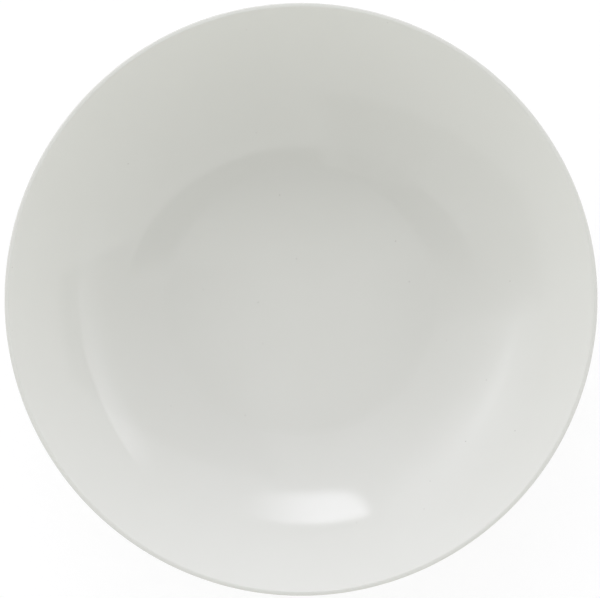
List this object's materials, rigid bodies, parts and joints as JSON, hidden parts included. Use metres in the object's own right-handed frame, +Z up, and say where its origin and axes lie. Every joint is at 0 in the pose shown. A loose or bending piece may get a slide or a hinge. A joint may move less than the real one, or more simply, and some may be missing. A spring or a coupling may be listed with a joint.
{
  "type": "soup bowl",
  "caption": "Round soup bowl of white glazed porcelain, with a dished floor, a curved wall that flares out to a rounded lip, and a bare foot ring to stand on.",
  "frame": {"origin": "middle of the foot ring's resting face, on the table", "axes": "+Z up along the axis that the bowl is turned about; X and Y are equal because the bowl is round"},
  "size_m": [0.22, 0.22, 0.0517],
  "materials": {
    "porcelain": "bare fired porcelain, ground smooth and matt on the foot ring",
    "glaze": "clear gloss glaze, white with a faint warm grey-green cast"
  },
  "bodies": {
    "root": {"porcelain_body": "porcelain", "glaze_coat": "glaze", "foot_well_glaze": "glaze"}
  },
  "joints": []
}
